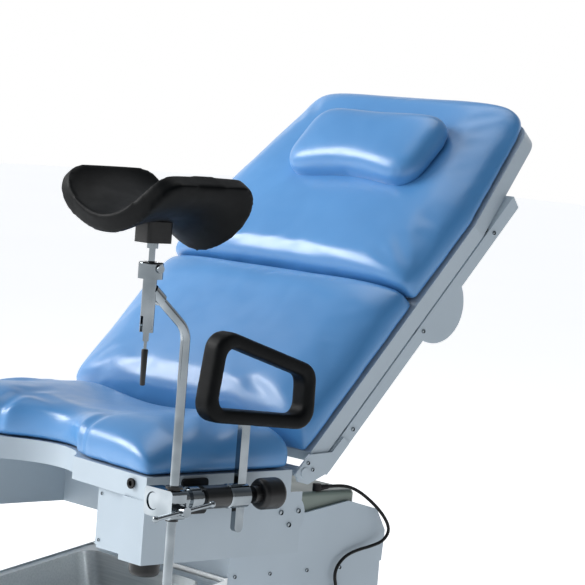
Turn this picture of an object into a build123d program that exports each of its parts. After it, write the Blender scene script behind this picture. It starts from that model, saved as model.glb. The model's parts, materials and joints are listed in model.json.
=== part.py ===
# Medical exam table: a padded seat and back on a lifting column, with leg supports,
# a hand grip and a sliding basin.
# Millimetres. X runs across the table, Y from the foot end to the head end, Z up from the floor.
# The origin is on the floor under the middle of the table. "Right" is the +X side.
import os
from math import cos, hypot, pi, radians, sin

from build123d import *

os.makedirs("parts", exist_ok=True)

# ---------------------------------------------------------------- driving dimensions
half_width = 300.0        # seat, back and upholstery
rim_top = 640.0           # top of the seat rim at the lowest lift position
front_y = -321.51         # front face of the seat rim
seat_length = 288.0
rim_depth = 35.0
sheet = 3.0               # folded steel panels
apron_depth = 131.0       # from the rim's top to the aprons' lower edge
apron_length = 313.0

cut_half_width = 100.0    # the opening in the front of the seat
cut_front = 16.0
cut_depth = 65.0
inner_apron_x = 167.0
cushion_height = 66.0

back_angle = 48.0         # back's slope above the horizontal at rest
hinge_y, hinge_z = 310.0, -5.0
pad_base = 11.0           # underside of the back pads above the hinge's plane
pad_thickness = 74.0
pad_start, pad_crease, pad_end = 28.0, 344.0, 766.0
pad_top_half_width = 257.0
pad_taper_start = 520.0
pan_end = 748.0
pan_height = 28.0
beam_depth = 22.0
beam_width = 38.0
beam_end = 616.0

tilt_y, tilt_z = 289.0, -72.0
tilt_shaft_r = 15.0

column_half_width = 172.0
column_front, column_rear = 286.0, 626.0
column_top = -189.0       # from the rim's top
base_top = 110.0          # floor to the top of the base cover
column_gap = 20.0         # base cover to the moving column cover at the lowest position
telescope_clearance = 4.0
base_half_width, base_front, base_rear = 260.0, 40.0, 700.0

basin_slope = 11.0
basin_rear_y, basin_rear_z = 274.0, -202.0
basin_width, basin_length, basin_depth = 336.0, 300.0, 85.0
basin_lip = 16.0
basin_sheet = 1.5

bar_x, bar_z, bar_r = half_width + 45, -25.0, 13.5
rod_x, rod_y, rod_r = bar_x + 30, -10.0, 7.0
bush_wall = 2.5
housing_y, ball_z, ball_r = -83.0, 315.0, 11.0
head_y, head_length, head_r = 135.0, 38.0, 18.5
grip_y, grip_wide, grip_thick = 142.0, 16.0, 10.0
foam_thick = 38.0

running = 0.05            # radial clearance of turning and sliding fits
flat_fit = 0.3            # clearance each side of flat sliding faces
touch = 0.3               # gap between upholstery and its neighbours
cord_r = 2.75

# ---------------------------------------------------------------- planes of the sub-assemblies
top_plane = Plane(origin=(0, front_y, rim_top), x_dir=(1, 0, 0), z_dir=(0, 0, 1))
side_plane = Plane(origin=(0, front_y, rim_top), x_dir=(0, 1, 0), z_dir=(1, 0, 0))
front_plane = Plane(origin=(0, front_y, rim_top), x_dir=(1, 0, 0), z_dir=(0, -1, 0))
floor_plane = Plane(origin=(0, front_y, 0), x_dir=(1, 0, 0), z_dir=(0, 0, 1))

slope_y, slope_z = cos(radians(back_angle)), sin(radians(back_angle))
hinge_point = (0, front_y + hinge_y, rim_top + hinge_z)
back_plane = Plane(origin=hinge_point, x_dir=(1, 0, 0), z_dir=(0, -slope_z, slope_y))
back_side = Plane(origin=hinge_point, x_dir=(0, slope_y, slope_z), z_dir=(1, 0, 0))

basin_point = (0, front_y + basin_rear_y, rim_top + basin_rear_z)
basin_tilt = radians(basin_slope)
basin_plane = Plane(origin=basin_point, x_dir=(1, 0, 0), z_dir=(0, -sin(basin_tilt), cos(basin_tilt)))


def save(part, name):
    part.label = name
    export_step(part, f"parts/{name}.step")


def save_pair(part, name):
    save(part, f"{name}_right")
    save(mirror(part, about=Plane.YZ), f"{name}_left")


def across(plane, x):
    """The side plane moved to a place across the table."""
    return plane.offset(x)


def along(y):
    """A plane square to Y, facing the head end, at a distance behind the seat's front."""
    return front_plane.offset(-y)


# ---------------------------------------------------------------- seat
def seat_outline(inset):
    """Rectangle with a shallow round opening in its front edge."""
    x, y0, y1 = half_width - inset, inset, seat_length - inset
    with BuildLine() as line:
        Polyline((cut_half_width + inset, cut_front + inset), (x, y0), (x, y1), (-x, y1), (-x, y0),
                 (-cut_half_width - inset, cut_front + inset))
        ThreePointArc((-cut_half_width - inset, cut_front + inset), (0, cut_depth + inset),
                      (cut_half_width + inset, cut_front + inset))
    return line


with BuildPart() as seat_tray:
    with BuildSketch(top_plane):
        add(seat_outline(0))
        make_face()
    extrude(amount=-rim_depth)
    with BuildSketch(top_plane.offset(-sheet)):
        add(seat_outline(sheet))
        make_face()
    extrude(amount=-rim_depth, mode=Mode.SUBTRACT)
    with BuildSketch(along(40)):
        with Locations((half_width - 35, -14), (35 - half_width, -14)):
            Circle(6)
    extrude(amount=60, mode=Mode.SUBTRACT)
save(seat_tray.part, "seat_tray")

with BuildPart() as seat_cushion:
    with BuildSketch(top_plane.offset(touch)):
        add(seat_outline(0))
        make_face()
    extrude(amount=cushion_height)
    fillet(seat_cushion.faces().sort_by(Axis.Z)[-1].edges(), 22)
save(seat_cushion.part, "seat_cushion")

with BuildPart() as side_aprons:
    with BuildSketch(across(side_plane, half_width - sheet)):
        with BuildLine():
            Polyline((0, -rim_depth), (apron_length, -rim_depth), (apron_length, -apron_depth),
                     (0, -apron_depth), close=True)
        make_face()
    extrude(amount=sheet)
    mirror(about=Plane.YZ)
save(side_aprons.part, "side_aprons")

post_width, post_depth = 54.0, 45.0
post_in = half_width - post_width
with BuildPart() as front_posts:
    with BuildSketch(top_plane.offset(-rim_depth)):
        with Locations(((post_in + half_width - sheet) / 2, post_depth / 2)):
            Rectangle(post_width - sheet, post_depth)
            Rectangle(post_width - 3 * sheet, post_depth - 2 * sheet, mode=Mode.SUBTRACT)
        with Locations(((inner_apron_x + sheet + post_in) / 2, 18.5)):
            Rectangle(post_in - inner_apron_x - sheet, sheet)
    extrude(amount=rim_depth + sheet - apron_depth)
    with BuildSketch(top_plane.offset(-apron_depth)):
        with Locations(((post_in + half_width - sheet) / 2, post_depth / 2)):
            Rectangle(post_width - sheet, post_depth)
    extrude(amount=sheet)
    with BuildSketch(top_plane.offset(-apron_depth)):
        with Locations((half_width - 25, 28)):
            Circle(5 + running)
    extrude(amount=2 * sheet, mode=Mode.SUBTRACT)
    mirror(about=Plane.YZ)
save(front_posts.part, "front_posts")

cross_y = 207.0
inner_depth = 124.0
with BuildPart() as inner_aprons:
    with BuildSketch(top_plane.offset(-rim_depth)):
        with Locations((inner_apron_x + sheet / 2, (17 + cross_y + 15) / 2)):
            Rectangle(sheet, cross_y + 15 - 17)
    extrude(amount=rim_depth - inner_depth)
    mirror(about=Plane.YZ)
save(inner_aprons.part, "inner_aprons")

with BuildPart() as cross_beam:
    with BuildSketch(side_plane.offset(-inner_apron_x)):
        with BuildLine():
            Polyline((cross_y, -rim_depth), (cross_y, -inner_depth), (cross_y + 15, -inner_depth),
                     (cross_y + 15, sheet - inner_depth), (cross_y + sheet, sheet - inner_depth),
                     (cross_y + sheet, -rim_depth - sheet), (cross_y + 15, -rim_depth - sheet),
                     (cross_y + 15, -rim_depth), close=True)
        make_face()
    extrude(amount=2 * inner_apron_x)
save(cross_beam.part, "cross_beam")

with BuildPart() as socket_plugs:
    with BuildSketch(along(sheet)):
        with Locations((half_width - 35, -14)):
            Circle(6)
    extrude(amount=sheet)
    with BuildSketch(along(0)):
        with Locations((half_width - 35, -14)):
            Circle(8)
    extrude(amount=2.5)
    with BuildSketch(along(-2.5)):
        with Locations((half_width - 35, -14)):
            Circle(4)
    extrude(amount=-3.5, mode=Mode.SUBTRACT)
    mirror(about=Plane.YZ)
save(socket_plugs.part, "socket_plugs")

post_knob_x, post_knob_y, post_knob_r, post_knob_height = half_width - 25, 28.0, 23.0, 20.0
with BuildPart() as post_knob:
    with BuildSketch(top_plane.offset(-apron_depth - 1)):
        with Locations((post_knob_x, post_knob_y)):
            Circle(post_knob_r)
    extrude(amount=-post_knob_height)
    fillet(post_knob.faces().sort_by(Axis.Z)[0].edges(), 9)
    with BuildSketch(top_plane.offset(-apron_depth - 1)):
        with Locations((post_knob_x, post_knob_y)):
            Circle(5)
    extrude(amount=14)
save_pair(post_knob.part, "post_knob")

# ---------------------------------------------------------------- tilt bearings and back hinges
bearing_outer = half_width - sheet
bearing_length = 30.0
with BuildPart() as tilt_bearings:
    with BuildSketch(across(side_plane, bearing_outer)):
        with Locations((tilt_y, tilt_z)):
            Circle(35)
    extrude(amount=-6)
    with BuildSketch(across(side_plane, bearing_outer)):
        with Locations((tilt_y, tilt_z)):
            Circle(23)
    extrude(amount=-bearing_length)
    with BuildSketch(across(side_plane, bearing_outer)):
        with Locations((tilt_y, tilt_z)):
            Circle(tilt_shaft_r + running)
    extrude(amount=-bearing_length, mode=Mode.SUBTRACT)
    with BuildSketch(across(side_plane, bearing_outer)):
        with Locations((tilt_y - 18, tilt_z + 7), (tilt_y + 18, tilt_z + 7), (tilt_y, tilt_z - 19)):
            Circle(2.5)
    extrude(amount=-6, mode=Mode.SUBTRACT)
    mirror(about=Plane.YZ)
save(tilt_bearings.part, "tilt_bearings")

with BuildPart() as tilt_shaft:
    with BuildSketch(across(side_plane, -bearing_outer + 1)):
        with Locations((tilt_y, tilt_z)):
            Circle(tilt_shaft_r)
            Circle(tilt_shaft_r - 4, mode=Mode.SUBTRACT)
    extrude(amount=2 * bearing_outer - 2)
save(tilt_shaft.part, "tilt_shaft")

lug_x, lug_width = 232.0, 22.0
hinge_pin_r = 8.0
plate_gap = 0.5           # hinge plates of the back run just outside the seat's sides
plate_in = half_width + plate_gap
plate_thick = 4.0
with BuildPart() as back_hinges:
    with BuildSketch(across(side_plane, lug_x)):
        with BuildLine():
            Polyline((seat_length, -2), (seat_length, -32), (hinge_y + 6, -24), (hinge_y + 14, hinge_z),
                     (hinge_y, hinge_z + 12), (hinge_y - 10, hinge_z + 8), close=True)
        make_face()
    extrude(amount=lug_width)
    with BuildSketch(across(side_plane, lug_x + lug_width)):
        with Locations((hinge_y, hinge_z)):
            Circle(hinge_pin_r)
    extrude(amount=plate_in + plate_thick + 2 - lug_x - lug_width)
    mirror(about=Plane.YZ)
save(back_hinges.part, "back_hinges")


# ---------------------------------------------------------------- back
def back_outline(start, end, top_half_width, taper_start, inset):
    """Panel that narrows towards the head end."""
    wide, narrow = half_width - inset, top_half_width - inset
    with BuildLine() as line:
        Polyline((wide, start), (wide, taper_start), (narrow, end), (-narrow, end), (-wide, taper_start),
                 (-wide, start), close=True)
    return line


pan_bottom = pad_base - touch - pan_height
with BuildPart() as back_pan:
    with BuildSketch(back_plane.offset(pad_base - touch)):
        add(back_outline(pad_start + 4, pan_end, pad_top_half_width + 8, pad_taper_start, 0))
        make_face()
    extrude(amount=-pan_height)
    fillet(back_pan.edges().filter_by(Axis((0, 0, 0), back_plane.z_dir)).sort_by(
        Axis((0, 0, 0), back_plane.y_dir))[-2:], 40)
    with BuildSketch(back_plane.offset(pad_base - touch - sheet)):
        add(back_outline(pad_start + 4 + sheet, pan_end - sheet, pad_top_half_width + 8, pad_taper_start,
                         sheet))
        make_face()
        fillet(vertices().sort_by(Axis((0, 0, 0), (0, 1, 0)))[-2:], 37)
    extrude(amount=-pan_height, mode=Mode.SUBTRACT)
save(back_pan.part, "back_pan")

end_slant = 34.0           # slope of the lumbar pad's lower end, so it clears the seat
with BuildPart() as lumbar_pad:
    with BuildSketch(across(back_side, -half_width)):
        with BuildLine():
            Polyline((pad_start, pad_base), (pad_start + end_slant, pad_base + pad_thickness),
                     (pad_crease - 1, pad_base + pad_thickness), (pad_crease - 1, pad_base), close=True)
        make_face()
    extrude(amount=2 * half_width)
    fillet(lumbar_pad.faces().sort_by(Axis((0, 0, 0), back_plane.z_dir))[-1].edges(), 20)
save(lumbar_pad.part, "lumbar_pad")

with BuildPart() as back_pad:
    with BuildSketch(back_plane.offset(pad_base)):
        add(back_outline(pad_crease + 1, pad_end, pad_top_half_width, pad_taper_start, 0))
        make_face()
        fillet(vertices().sort_by(Axis((0, 0, 0), (0, 1, 0)))[-2:], 45)
    extrude(amount=pad_thickness)
    fillet(back_pad.faces().sort_by(Axis((0, 0, 0), back_plane.z_dir))[-1].edges(), 22)
save(back_pad.part, "back_pad")

pillow_x, pillow_u = 30.0, 607.0
pillow_length, pillow_width, pillow_thick = 340.0, 150.0, 48.0
with BuildPart() as pillow:
    with BuildSketch(back_plane.offset(pad_base + pad_thickness + touch)):
        with Locations((pillow_x, pillow_u)):
            RectangleRounded(pillow_length, pillow_width, 45)
    extrude(amount=pillow_thick)
    fillet(pillow.faces().sort_by(Axis((0, 0, 0), back_plane.z_dir))[-1].edges(), 20)
save(pillow.part, "pillow")

beam_top = pan_bottom - 3.0       # the rubber buffers fill the gap under the pan
beam_in = half_width - beam_width
beam_out = half_width + plate_gap
with BuildPart() as back_frame:
    # the two channels, open towards the middle
    with BuildSketch(across(back_side, beam_in)):
        with BuildLine():
            Polyline((30, beam_top), (beam_end, beam_top), (beam_end - 4, beam_top - beam_depth),
                     (30, beam_top - beam_depth), close=True)
        make_face()
    extrude(amount=beam_out - beam_in)
    with BuildSketch(across(back_side, beam_in)):
        with Locations(((30 + beam_end) / 2, beam_top - beam_depth / 2)):
            Rectangle(beam_end, beam_depth - 2 * sheet)
    extrude(amount=beam_out - beam_in - sheet, mode=Mode.SUBTRACT)
    # round ear under each channel
    with BuildSketch(across(back_side, beam_out - sheet)):
        with BuildLine():
            Line((313, beam_top - beam_depth + 2), (433, beam_top - beam_depth + 2))
            ThreePointArc((433, beam_top - beam_depth + 2), (373, -84), (313, beam_top - beam_depth + 2))
        make_face()
    extrude(amount=sheet)
    # hinge plates outside the channels
    with BuildSketch(across(back_side, plate_in)):
        with BuildLine():
            Polyline((-8, -19), (-18, -1), (-13, 13), (26, 13), (60, beam_top - 1), (92, beam_top - 2),
                     (92, beam_top - beam_depth + 3), (34, beam_top - beam_depth + 3), close=True)
        make_face()
        Circle(hinge_pin_r + running, mode=Mode.SUBTRACT)
    extrude(amount=plate_thick)
    mirror(about=Plane.YZ)
    # bars that tie the channels
    with BuildSketch(across(back_side, -beam_in - sheet)):
        with Locations((90, beam_top - beam_depth / 2), (560, beam_top - beam_depth / 2)):
            Rectangle(24, beam_depth - 2 * sheet)
    extrude(amount=2 * beam_in + 2 * sheet)
save(back_frame.part, "back_frame")

buffer_places = (106, 315, 536)
with BuildPart() as buffers:
    with BuildSketch(back_plane.offset(pan_bottom)):
        with Locations(*[(half_width - 12, u) for u in buffer_places]):
            Circle(9)
    extrude(amount=beam_top - pan_bottom)
    mirror(about=Plane.YZ)
save(buffers.part, "buffers")

# ---------------------------------------------------------------- lifting carriage and column
with BuildPart() as carriage:
    with BuildSketch(across(side_plane, column_half_width - 5)):
        with BuildLine():
            Polyline((column_front, column_top), (column_front, -112), (262, -96), (262, -58), (275, -46),
                     (306, -46), (322, -62), (330, -100), (444, -98), (540, -83), (606, -100),
                     (629, -137), (column_rear, column_top), close=True)
        make_face()
        with Locations((tilt_y, tilt_z)):
            Circle(tilt_shaft_r, mode=Mode.SUBTRACT)
    extrude(amount=5)
    mirror(about=Plane.YZ)
    with BuildSketch(top_plane.offset(column_top)):
        with Locations((0, 603)):
            Rectangle(2 * column_half_width - 10, sheet)
    extrude(amount=80)
    with BuildSketch(top_plane.offset(column_top)):
        with Locations((0, column_front + sheet / 2)):
            Rectangle(2 * column_half_width - 10, sheet)
    extrude(amount=76)
save(carriage.part, "carriage")

with BuildPart() as carriage_housing:
    with BuildSketch(top_plane.offset(column_top)):
        with Locations((0, 446)):
            Rectangle(2 * column_half_width - 14, 232)
    extrude(amount=-66 - column_top)
    fillet(carriage_housing.edges().filter_by(Axis.Z), 14)
    fillet(carriage_housing.faces().sort_by(Axis.Z)[-1].edges(), 8)
    offset(amount=-sheet, openings=carriage_housing.faces().sort_by(Axis.Z)[0], mode=Mode.REPLACE)
save(carriage_housing.part, "carriage_housing")

column_middle = (column_front + column_rear) / 2
column_length = column_rear - column_front
cover_bottom = base_top + column_gap
cover_top = rim_top + column_top
with BuildPart() as column_cover:
    with BuildSketch(floor_plane.offset(cover_bottom)):
        with Locations((0, column_middle)):
            RectangleRounded(2 * column_half_width, column_length, 6)
    extrude(amount=cover_top - cover_bottom)
    with BuildSketch(floor_plane.offset(cover_bottom)):
        with Locations((0, column_middle)):
            RectangleRounded(2 * column_half_width - 2 * sheet, column_length - 2 * sheet, 4)
    extrude(amount=cover_top - cover_bottom - 2 * sheet, mode=Mode.SUBTRACT)
save(column_cover.part, "column_cover")

inner_width = 2 * (column_half_width - sheet - telescope_clearance)
inner_length = column_length - 2 * (sheet + telescope_clearance)
base_plate_z, base_plate_thick = 16.0, 8.0
with BuildPart() as inner_column:
    with BuildSketch(floor_plane.offset(base_plate_z + base_plate_thick)):
        with Locations((0, column_middle)):
            RectangleRounded(inner_width, inner_length, 5)
            RectangleRounded(inner_width - 2 * sheet, inner_length - 2 * sheet, 3, mode=Mode.SUBTRACT)
    extrude(amount=cover_top - 12 - base_plate_z - base_plate_thick)
save(inner_column.part, "inner_column")

# ---------------------------------------------------------------- base
base_middle = (base_front + base_rear) / 2
base_length = base_rear - base_front
with BuildPart() as base_plate:
    with BuildSketch(floor_plane.offset(base_plate_z)):
        with Locations((0, base_middle)):
            RectangleRounded(2 * base_half_width - 20, base_length - 20, 20)
    extrude(amount=base_plate_thick)
save(base_plate.part, "base_plate")

with BuildPart() as base_cover:
    with BuildSketch(floor_plane.offset(base_plate_z + base_plate_thick)):
        with Locations((0, base_middle)):
            RectangleRounded(2 * base_half_width, base_length, 30)
    extrude(amount=base_top - base_plate_z - base_plate_thick)
    fillet(base_cover.faces().sort_by(Axis.Z)[-1].edges(), 22)
    offset(amount=-sheet, openings=base_cover.faces().sort_by(Axis.Z)[0], mode=Mode.REPLACE)
    with BuildSketch(floor_plane.offset(base_top)):
        with Locations((0, column_middle)):
            RectangleRounded(inner_width + 2, inner_length + 2, 6)
    extrude(amount=-20, mode=Mode.SUBTRACT)
save(base_cover.part, "base_cover")

foot_r = 25.0
foot_x, foot_dy = base_half_width - 45, base_length / 2 - 45
with BuildPart() as feet:
    with BuildSketch(floor_plane):
        with Locations((0, base_middle)):
            with GridLocations(2 * foot_x, 2 * foot_dy, 2, 2):
                Circle(foot_r)
    extrude(amount=base_plate_z - 4)
    with BuildSketch(floor_plane.offset(base_plate_z - 4)):
        with Locations((0, base_middle)):
            with GridLocations(2 * foot_x, 2 * foot_dy, 2, 2):
                Circle(9)
    extrude(amount=4)
save(feet.part, "feet")

# ---------------------------------------------------------------- basin and its holder
with BuildPart() as basin:
    with BuildSketch(basin_plane):
        with Locations((0, -basin_length / 2)):
            RectangleRounded(basin_width - 2 * basin_lip, basin_length - 2 * basin_lip, 30)
    extrude(amount=-basin_depth)
    fillet(basin.faces().sort_by(Axis((0, 0, 0), basin_plane.z_dir))[0].edges(), 16)
    offset(amount=-basin_sheet, openings=basin.faces().sort_by(Axis((0, 0, 0), basin_plane.z_dir))[-1],
           mode=Mode.REPLACE)
    with BuildSketch(basin_plane):
        with Locations((0, -basin_length / 2)):
            RectangleRounded(basin_width, basin_length, 12)
            RectangleRounded(basin_width - 2 * basin_lip - 1, basin_length - 2 * basin_lip - 1, 29.5,
                             mode=Mode.SUBTRACT)
    extrude(amount=-basin_sheet)
save(basin.part, "basin")

rail_in = basin_width / 2 - 9
rail_out = basin_width / 2 + flat_fit + sheet
with BuildPart() as basin_holder:
    with BuildSketch(basin_plane.offset(2)):
        with Locations(((rail_in + rail_out) / 2, -basin_length / 2 + 3)):
            Rectangle(rail_out - rail_in, basin_length + 14)
    extrude(amount=-2 - basin_sheet - flat_fit - sheet)
    with BuildSketch(basin_plane.offset(2)):
        with Locations(((rail_in - 5 + basin_width / 2 + flat_fit) / 2, -basin_length / 2 - 10)):
            Rectangle(basin_width / 2 + flat_fit - rail_in + 5, basin_length + 24)
    extrude(amount=-2 - basin_sheet - flat_fit, mode=Mode.SUBTRACT)
    mirror(about=Plane.YZ)
    with BuildSketch(along(column_front - 5)):
        with Locations((0, basin_rear_z - 6)):
            Rectangle(2 * rail_out, 26)
    extrude(amount=-5)
save(basin_holder.part, "basin_holder")

# ---------------------------------------------------------------- hand grip and leg support, right side
with BuildPart() as bar_bracket:
    with BuildSketch(across(side_plane, half_width)):
        with Locations((91, -31)):
            RectangleRounded(50, 54, 6)
    extrude(amount=4)
    with BuildSketch(across(side_plane, half_width)):
        with Locations((91, bar_z)):
            Rectangle(26, 20)
    extrude(amount=bar_x - half_width)
    with BuildSketch(along(114)):
        with Locations((bar_x, bar_z)):
            Circle(bar_r + 4)
    extrude(amount=46)
    with BuildSketch(along(114)):
        with Locations((bar_x, bar_z)):
            Circle(bar_r)
    extrude(amount=46, mode=Mode.SUBTRACT)
save_pair(bar_bracket.part, "bar_bracket")

bar_end = head_y - head_length / 2 - 0.3
tail_r = 8.0
with BuildPart() as side_bar:
    with BuildSketch(along(bar_end)):
        with Locations((bar_x, bar_z)):
            Circle(bar_r)
    extrude(amount=bar_end + 22)
    chamfer(side_bar.faces().sort_by(Axis.Y)[0].edges(), 1.5)
    with BuildSketch(along(58)):                 # set collar
        with Locations((bar_x, bar_z)):
            Circle(bar_r + 4)
    extrude(amount=18)
    with BuildSketch(along(bar_end)):
        with Locations((bar_x, bar_z)):
            Circle(tail_r + running)
    extrude(amount=52, mode=Mode.SUBTRACT)
save_pair(side_bar.part, "side_bar")

bush_r = rod_r + bush_wall
screw_z = -32.0
screw_r = 5.0
block_x0, block_x1 = bar_x - bar_r - 5, rod_x + bush_r + 5
with BuildPart() as rod_clamp:
    with BuildSketch(along(3)):
        with Locations(((block_x0 + block_x1) / 2, bar_z - 1)):
            RectangleRounded(block_x1 - block_x0, 42, 6)
    extrude(amount=27)
    with BuildSketch(along(32)):
        with Locations((bar_x, bar_z)):
            Circle(bar_r + 4)
    extrude(amount=29)
    with BuildSketch(across(side_plane, rod_x)):
        with Locations((rod_y, screw_z)):
            Circle(9)
    extrude(amount=block_x1 + 5 - rod_x)
    with BuildSketch(along(32)):
        with Locations((bar_x, bar_z)):
            Circle(bar_r)
    extrude(amount=60, mode=Mode.SUBTRACT)
    with BuildSketch(top_plane.offset(0)):
        with Locations((rod_x, rod_y)):
            Circle(bush_r + running)
    extrude(amount=-60, mode=Mode.SUBTRACT)
    with BuildSketch(across(side_plane, rod_x)):
        with Locations((rod_y, screw_z)):
            Circle(screw_r + running)
    extrude(amount=40, mode=Mode.SUBTRACT)
save_pair(rod_clamp.part, "rod_clamp")

bar_length, tommy_r, tommy_slope = 105.0, 3.2, 9.0
tommy_x = block_x1 + 12
with BuildPart() as clamp_screw:
    with BuildSketch(across(side_plane, rod_x + bush_r + 0.4)):
        with Locations((rod_y, screw_z)):
            Circle(screw_r)
    extrude(amount=tommy_x - rod_x - bush_r)
    with BuildSketch(across(side_plane, block_x1 + 5.5)):
        with Locations((rod_y, screw_z)):
            Circle(7.5)
    extrude(amount=13)
    tommy_plane = Plane(origin=(tommy_x, front_y + rod_y, rim_top + screw_z), x_dir=(1, 0, 0),
                        z_dir=(0, cos(radians(tommy_slope)), sin(radians(tommy_slope))))
    with BuildSketch(tommy_plane):
        Circle(tommy_r)
    extrude(amount=bar_length / 2, both=True)
    with Locations(tommy_plane.offset(bar_length / 2), tommy_plane.offset(-bar_length / 2)):
        Sphere(5)
save_pair(clamp_screw.part, "clamp_screw")

with BuildPart() as rod_bush:
    with BuildSketch(top_plane.offset(-50)):
        with Locations((rod_x, rod_y)):
            Circle(bush_r)
    extrude(amount=47)
    with BuildSketch(top_plane.offset(-3)):
        with Locations((rod_x, rod_y)):
            Circle(bush_r + 3)
    extrude(amount=4)
    with BuildSketch(top_plane.offset(-50)):
        with Locations((rod_x, rod_y)):
            Circle(rod_r + running)
    extrude(amount=60, mode=Mode.SUBTRACT)
save_pair(rod_bush.part, "rod_bush")

rod_bottom = -200.0
rod_bend_z, rod_end_z = 227.0, 280.0
rod_bend_r = 34.0
rod_end_y = housing_y + 10
rod_lean = hypot(rod_end_y - rod_y, rod_end_z - rod_bend_z)
with BuildPart() as leg_rod:
    with BuildLine(across(side_plane, rod_x)):
        FilletPolyline((rod_y, rod_bottom), (rod_y, rod_bend_z), (rod_end_y, rod_end_z), radius=rod_bend_r)
    with BuildSketch(Plane(origin=(rod_x, front_y + rod_y, rim_top + rod_bottom), z_dir=(0, 0, 1))):
        Circle(rod_r)
    sweep()
save_pair(leg_rod.part, "leg_rod")

boss_dir = (0, (rod_end_y - rod_y) / rod_lean, (rod_end_z - rod_bend_z) / rod_lean)
boss_length = 16.0
boss_plane = Plane(origin=(rod_x, front_y + rod_end_y - boss_length * boss_dir[1],
                           rim_top + rod_end_z - boss_length * boss_dir[2]), z_dir=boss_dir)
socket_r = ball_r + running
fork_z = 231.0
housing_plane = Plane(origin=(rod_x, front_y + housing_y, rim_top))
with BuildPart() as ball_housing:
    with BuildSketch(housing_plane.offset(fork_z - 7)):
        Circle(10)
    extrude(amount=ball_z - 9 - fork_z + 7)
    with BuildSketch(housing_plane.offset(ball_z - 15)):
        Circle(18)
    extrude(amount=24)
    fillet(ball_housing.faces().sort_by(Axis.Z)[-1].edges(), 3)
    # boss for the screw that sets how stiffly the ball turns
    with BuildSketch(across(side_plane, rod_x + 14)):
        with Locations((housing_y, ball_z)):
            Circle(6)
    extrude(amount=9)
    with BuildSketch(boss_plane):
        Circle(rod_r + 3)
    extrude(amount=boss_length + 6)
    with BuildSketch(boss_plane):
        Circle(rod_r)
    extrude(amount=boss_length, mode=Mode.SUBTRACT)
    with Locations(housing_plane.offset(ball_z)):
        Sphere(socket_r, mode=Mode.SUBTRACT)
        Cone(4.5, 13, 12, align=(Align.CENTER, Align.CENTER, Align.MIN), mode=Mode.SUBTRACT)
    with BuildSketch(housing_plane.offset(fork_z - 8)):
        Rectangle(5 + 2 * flat_fit, 30)
    extrude(amount=24, mode=Mode.SUBTRACT)
    with BuildSketch(across(side_plane, rod_x - 20)):
        with Locations((housing_y, fork_z)):
            Circle(2.5 + running)
    extrude(amount=40, mode=Mode.SUBTRACT)
save_pair(ball_housing.part, "ball_housing")

mount_z, mount_height = 351.0, 30.0
with BuildPart() as ball_stem:
    with Locations(housing_plane.offset(ball_z)):
        Sphere(ball_r)
    with BuildSketch(housing_plane.offset(ball_z)):
        Circle(4.5)
    extrude(amount=mount_z + mount_height - 6 - ball_z)
    with BuildSketch(housing_plane.offset(mount_z - 8)):
        Circle(8)
    extrude(amount=7.7)
save_pair(ball_stem.part, "ball_stem")

with BuildPart() as clamp_lever:
    with BuildSketch(across(side_plane, rod_x - 2.5)):
        with Locations((housing_y, fork_z)):
            Circle(6.5)
        with Locations((housing_y, fork_z - 10)):
            Rectangle(7, 20)
    extrude(amount=5)
    with BuildSketch(across(side_plane, rod_x - 9.5)):
        with Locations((housing_y, fork_z)):
            Circle(2.5)
    extrude(amount=19)
    with BuildSketch(housing_plane.offset(fork_z - 20)):
        Circle(2.2)
    extrude(amount=-16)
    with BuildSketch(housing_plane.offset(fork_z - 32)):
        Circle(3)
    extrude(amount=-50)
    fillet(clamp_lever.faces().sort_by(Axis.Z)[0].edges(), 2)
save_pair(clamp_lever.part, "clamp_lever")

# the leg rest is a trough, thick under the knee and thinner at its two wings
pad_dip = -6.0             # the trough's front end stands a little higher than its rear
trough_out_r, trough_in_r, trough_long = 113.0, 95.0, 172.0
trough_floor = 50.0        # foam under the leg at the middle
trough_rim = 10.0          # the wings end this far below the outer circle's centre
trough_centre = (rod_x, front_y + housing_y, rim_top + mount_z + trough_out_r)
trough_plane = Plane(origin=trough_centre, x_dir=(1, 0, 0),
                     z_dir=(0, -cos(radians(pad_dip)), -sin(radians(pad_dip))))
with BuildPart() as leg_pad:
    with BuildSketch(trough_plane):
        Circle(trough_out_r)
        with Locations((0, trough_floor + trough_in_r - trough_out_r)):
            Circle(trough_in_r, mode=Mode.SUBTRACT)
        with Locations((0, trough_out_r - trough_rim)):
            Rectangle(3 * trough_out_r, 2 * trough_out_r, mode=Mode.SUBTRACT)
    extrude(amount=trough_long / 2, both=True)
    with BuildSketch(housing_plane.offset(mount_z - 20)):
        RectangleRounded(37, 45, 6)
    extrude(amount=20 + mount_height + touch, mode=Mode.SUBTRACT)
save_pair(leg_pad.part, "leg_pad")

with BuildPart() as pad_mount:
    with BuildSketch(housing_plane.offset(mount_z)):
        RectangleRounded(36, 44, 6)
    extrude(amount=mount_height)
    with BuildSketch(housing_plane.offset(mount_z)):
        Circle(4.5 + running)
    extrude(amount=mount_height - 5, mode=Mode.SUBTRACT)
save_pair(pad_mount.part, "pad_mount")

with BuildPart() as handle_head:
    with BuildSketch(along(head_y + head_length / 2)):
        with Locations((bar_x, bar_z)):
            Circle(head_r)
    extrude(amount=head_length)
    chamfer(handle_head.edges().filter_by(GeomType.CIRCLE), 2)
    with BuildSketch(along(head_y)):
        with Locations((bar_x, bar_z)):
            Circle(tail_r)
    extrude(amount=head_length / 2 + 50)
    with BuildSketch(top_plane.offset(bar_z - 30)):
        with Locations((bar_x, grip_y)):
            Rectangle(grip_thick + 2 * flat_fit, grip_wide + 2 * flat_fit)
    extrude(amount=60, mode=Mode.SUBTRACT)
    with BuildSketch(along(head_y + head_length / 2)):
        with Locations((bar_x, bar_z)):
            Circle(screw_r + running)
    extrude(amount=10, mode=Mode.SUBTRACT)
save(handle_head.part, "handle_head_right")

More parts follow.
